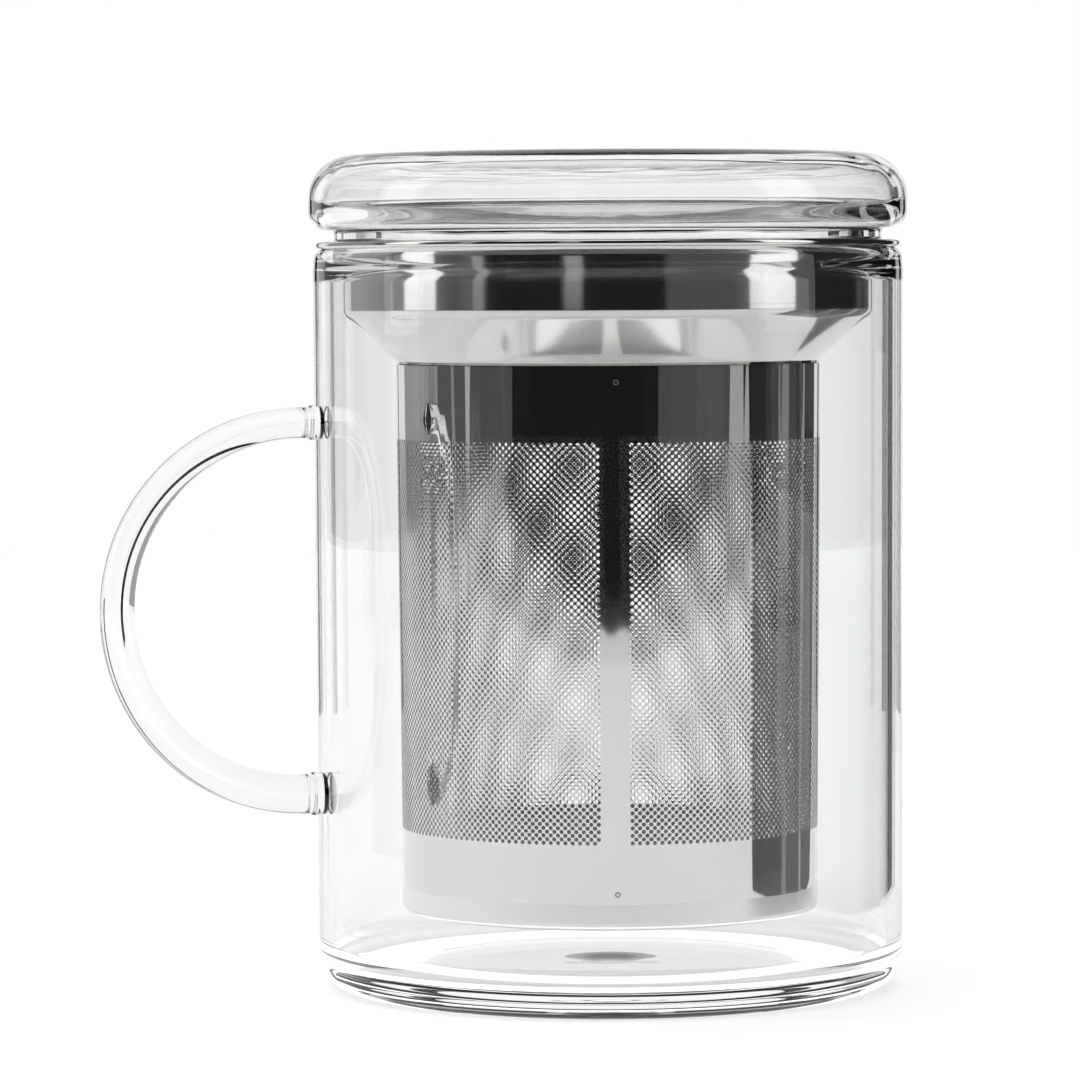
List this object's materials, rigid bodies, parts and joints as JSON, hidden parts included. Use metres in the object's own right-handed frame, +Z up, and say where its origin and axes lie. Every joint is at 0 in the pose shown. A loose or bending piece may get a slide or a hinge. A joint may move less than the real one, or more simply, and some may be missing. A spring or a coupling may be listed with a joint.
{
  "type": "lidded tea mug with infuser",
  "caption": "Clear glass tea mug with a rod handle, a perforated steel infuser hung from its rim and a hollow glass lid.",
  "frame": {"origin": "middle of the mug's flat underside, on the surface that it stands on", "axes": "+Z up along the axis of the mug, infuser and lid; the handle points along -X"},
  "size_m": [0.1176, 0.0862, 0.12],
  "materials": {
    "borosilicate_glass": "clear, fire polished",
    "polished_steel": "mirror polished stainless steel",
    "satin_steel": "satin stainless steel"
  },
  "bodies": {
    "mug": {"mug_body": "borosilicate_glass", "handle_rod": "borosilicate_glass", "upper_handle_joint": "borosilicate_glass", "lower_handle_joint": "borosilicate_glass"},
    "infuser": {"infuser_collar": "polished_steel", "infuser_sleeve": "polished_steel", "infuser_bottom_cap": "satin_steel"},
    "lid": {"lid_upper_shell": "borosilicate_glass", "lid_lower_shell": "borosilicate_glass", "lid_vent_seal": "borosilicate_glass"}
  },
  "joints": [
    {"name": "infuser_lift", "type": "slide", "parent": "mug", "child": "infuser", "axis": [0, 0, 1], "range_m": [0, 0.115]},
    {"name": "lid_lift", "type": "slide", "parent": "infuser", "child": "lid", "axis": [0, 0, 1], "range_m": [0, 0.04]}
  ]
}
